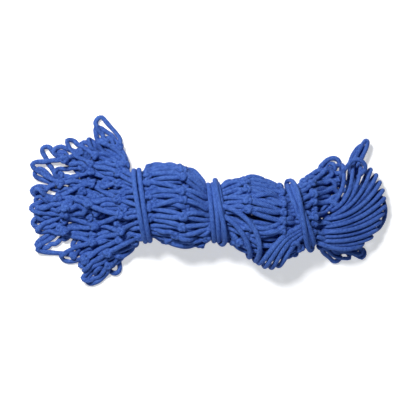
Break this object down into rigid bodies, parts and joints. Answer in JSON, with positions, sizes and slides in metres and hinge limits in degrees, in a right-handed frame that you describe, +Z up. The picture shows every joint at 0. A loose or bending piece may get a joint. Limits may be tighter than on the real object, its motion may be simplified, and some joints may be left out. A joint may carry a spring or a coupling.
{
  "type": "cargo climbing net",
  "caption": "Knotted square-mesh climbing net of blue braided cord, gathered into a long bundle and bound with cord ties, with a hank of lashing cord at one end.",
  "frame": {"origin": "on the floor, under the middle of the bundle's outline as it lies gathered", "axes": "+X along the bundle from the splayed fan to the hank of lashing cord, +Y towards the peak of the fan, +Z up from the floor"},
  "size_m": [0.4913, 0.2112, 0.0797],
  "materials": {
    "net_cord": "matt",
    "tie_cord": "matt",
    "lashing_cord": "matt"
  },
  "bodies": {
    "left_lobe": {"left_lobe_lower_back": "net_cord", "left_lobe_lower_front": "net_cord", "left_lobe_lower_middle": "net_cord", "left_lobe_upper_back": "net_cord", "left_lobe_upper_front": "net_cord", "left_lobe_upper_middle": "net_cord"},
    "fan": {"fan_back_edge_meshes": "net_cord", "fan_front_edge_meshes": "net_cord", "fan_left_edge_meshes": "net_cord", "fan_lower_back": "net_cord", "fan_lower_front": "net_cord", "fan_lower_left": "net_cord", "fan_lower_peak": "net_cord", "fan_lower_tail": "net_cord", "fan_peak_edge_meshes": "net_cord", "fan_tail_edge_meshes": "net_cord", "fan_upper_back": "net_cord", "fan_upper_front": "net_cord", "fan_upper_left": "net_cord"},
    "left_tie": {"left_tie_neck": "net_cord", "left_tie_turn_1": "tie_cord", "left_tie_turn_2": "tie_cord"},
    "middle_tie": {"middle_tie_neck": "net_cord", "middle_tie_turn_1": "tie_cord", "middle_tie_turn_2": "tie_cord", "middle_tie_turn_3": "tie_cord", "middle_tie_turn_4": "tie_cord"},
    "right_lobe": {"right_lobe_lower_back": "net_cord", "right_lobe_lower_front": "net_cord", "right_lobe_lower_middle": "net_cord", "right_lobe_upper_back": "net_cord", "right_lobe_upper_front": "net_cord", "right_lobe_upper_middle": "net_cord"},
    "right_tie": {"right_tie_neck": "net_cord", "right_tie_turn_1": "tie_cord", "right_tie_turn_2": "tie_cord", "right_tie_turn_3": "tie_cord"},
    "tuft": {"tuft_lower_loop": "lashing_cord", "tuft_upper_loop": "lashing_cord"},
    "hank_end": {"curl_bight": "lashing_cord", "end_front_meshes": "net_cord", "end_lower_back": "net_cord", "end_upper_back": "net_cord", "lashing_hank": "lashing_cord", "rim_bight": "lashing_cord", "tuft_knot": "lashing_cord"}
  },
  "joints": [
    {"name": "left_tie_swing", "type": "hinge", "parent": "left_lobe", "child": "left_tie", "pos_m": [-0.086, -0.007, 0.038], "axis": [0, 0, 1], "range_deg": [-12, 12]},
    {"name": "fan_lift", "type": "hinge", "parent": "left_tie", "child": "fan", "pos_m": [-0.086, -0.007, 0.038], "axis": [-0.1564, 0.9877, 0], "range_deg": [-15, 15]},
    {"name": "middle_tie_swing", "type": "hinge", "parent": "left_lobe", "child": "middle_tie", "pos_m": [0.014, -0.016, 0.038], "axis": [0, 0, 1], "range_deg": [-12, 12]},
    {"name": "right_lobe_lift", "type": "hinge", "parent": "middle_tie", "child": "right_lobe", "pos_m": [0.014, -0.016, 0.038], "axis": [-0.1045, 0.9945, 0], "range_deg": [-12, 12]},
    {"name": "right_tie_swing", "type": "hinge", "parent": "right_lobe", "child": "right_tie", "pos_m": [0.127, -0.02, 0.038], "axis": [0, 0, 1], "range_deg": [-12, 12]},
    {"name": "hank_lift", "type": "hinge", "parent": "right_tie", "child": "hank_end", "pos_m": [0.127, -0.02, 0.038], "axis": [-0.309, 0.9511, 0], "range_deg": [-12, 12]},
    {"name": "tuft_lift", "type": "hinge", "parent": "hank_end", "child": "tuft", "pos_m": [0.20273, 0.04005, 0.01065], "axis": [0.9781, -0.2079, 0], "range_deg": [0, 45]}
  ]
}
